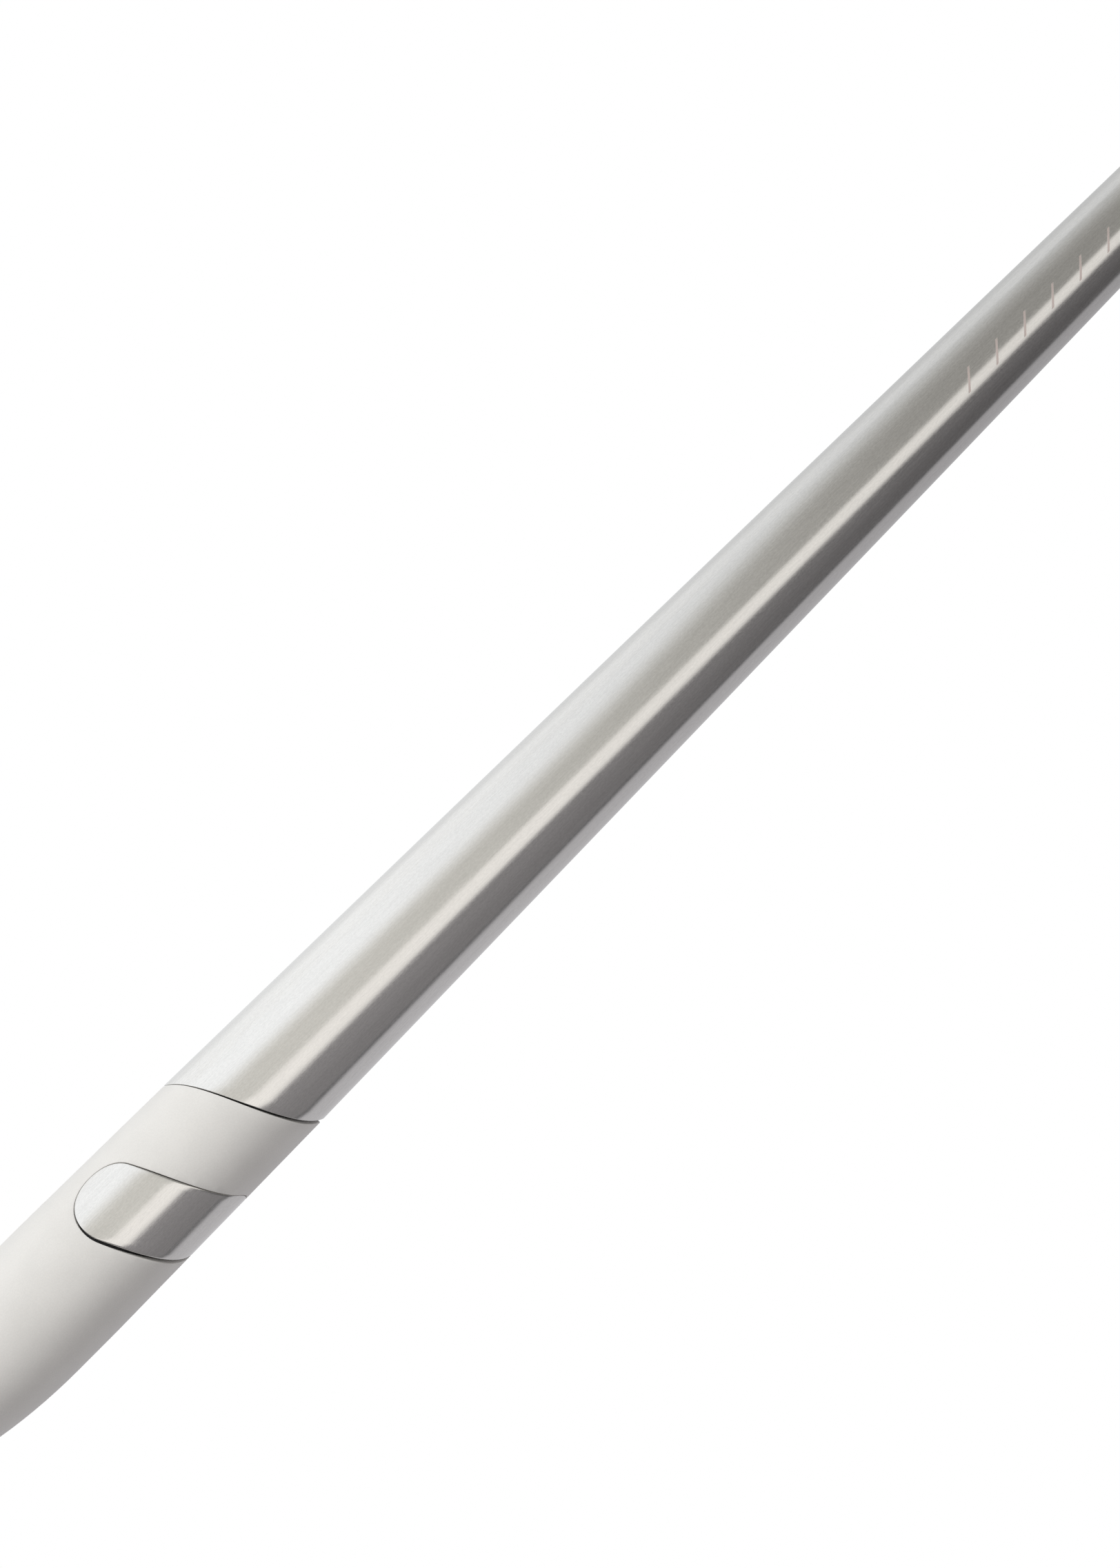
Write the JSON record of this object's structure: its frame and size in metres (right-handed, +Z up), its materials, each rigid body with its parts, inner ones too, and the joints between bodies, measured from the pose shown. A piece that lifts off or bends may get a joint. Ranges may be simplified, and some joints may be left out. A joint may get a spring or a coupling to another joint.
{
  "type": "white cane",
  "caption": "Telescopic white cane lying on its side: brushed tubular handle with a white electronic head and thumb button, sliding shaft sections, rolling tip.",
  "frame": {"origin": "under the middle of the cane, on the surface that it lies on", "axes": "+X along the cane from the head to the tip, +Z up, +Y the side of the head that the beak and the charge contacts are on"},
  "size_m": [1.1364, 0.0271, 0.0271],
  "materials": {
    "white_plastic": "satin moulded white plastic",
    "brushed_aluminium": "brushed lengthwise, clear anodised",
    "dark_plastic": "moulded nylon",
    "rubber": "moulded rubber",
    "steel": "machined",
    "brass": "plated, satin",
    "circuit_board": "solder mask",
    "cell_wrap": "shrink wrap over a metal can",
    "white_sleeve": "white retroreflective film over aluminium",
    "red_sleeve": "red retroreflective film over aluminium",
    "white_nylon": "turned nylon"
  },
  "bodies": {
    "handle": {"head_shell": "white_plastic", "switch_body": "steel", "control_board": "circuit_board", "battery_cell": "cell_wrap", "battery_contact_front": "brass", "battery_contact_rear": "brass", "vibration_motor": "steel", "inner_frame": "dark_plastic", "neck_sleeve": "dark_plastic", "frame_screw_1": "steel", "frame_screw_2": "steel", "charge_contact_1": "brass", "charge_contact_2": "brass", "strap_eyelet": "steel", "handle_tube": "brushed_aluminium", "guide_liner": "dark_plastic", "centring_ring_1": "dark_plastic", "centring_ring_2": "dark_plastic", "centring_ring_3": "dark_plastic", "nose_bush": "dark_plastic", "nose_ring": "brushed_aluminium", "stow_bumper": "rubber"},
    "thumb_button": {"thumb_button": "brushed_aluminium", "button_carrier": "dark_plastic", "switch_plunger": "dark_plastic"},
    "upper_shaft": {"upper_tube": "white_sleeve", "upper_slide_bush": "dark_plastic", "upper_end_plug": "dark_plastic", "upper_collar": "brushed_aluminium", "upper_friction_ring": "dark_plastic"},
    "middle_shaft": {"middle_tube": "white_sleeve", "middle_slide_bush": "dark_plastic", "middle_end_plug": "dark_plastic", "middle_collar": "brushed_aluminium", "middle_friction_ring": "dark_plastic"},
    "lower_shaft": {"lower_tube": "red_sleeve", "lower_slide_bush": "dark_plastic", "lower_end_plug": "dark_plastic", "tip_socket": "dark_plastic", "tip_axle": "steel", "bearing_upper_inner": "steel", "bearing_lower_inner": "steel", "bearing_spacer": "steel", "axle_washer": "steel", "axle_nut": "steel"},
    "tip_roller": {"tip_roller": "white_nylon", "roller_cap": "white_nylon", "bearing_upper_outer": "steel", "bearing_lower_outer": "steel"}
  },
  "joints": [
    {"name": "button_press", "type": "slide", "parent": "handle", "child": "thumb_button", "axis": [0, 0.5, -0.866], "range_m": [0, 0.00015], "stiffness_N_per_m": 1500, "springref_m": -0.001},
    {"name": "upper_slide", "type": "slide", "parent": "handle", "child": "upper_shaft", "axis": [-1, 0, 0], "range_m": [0, 0.223]},
    {"name": "middle_slide", "type": "slide", "parent": "upper_shaft", "child": "middle_shaft", "axis": [-1, 0, 0], "range_m": [0, 0.2275]},
    {"name": "lower_slide", "type": "slide", "parent": "middle_shaft", "child": "lower_shaft", "axis": [-1, 0, 0], "range_m": [0, 0.231]},
    {"name": "roller_spin", "type": "hinge", "parent": "lower_shaft", "child": "tip_roller", "pos_m": [0.5508, 0, 0.01354], "axis": [1, 0, 0], "continuous": true}
  ]
}
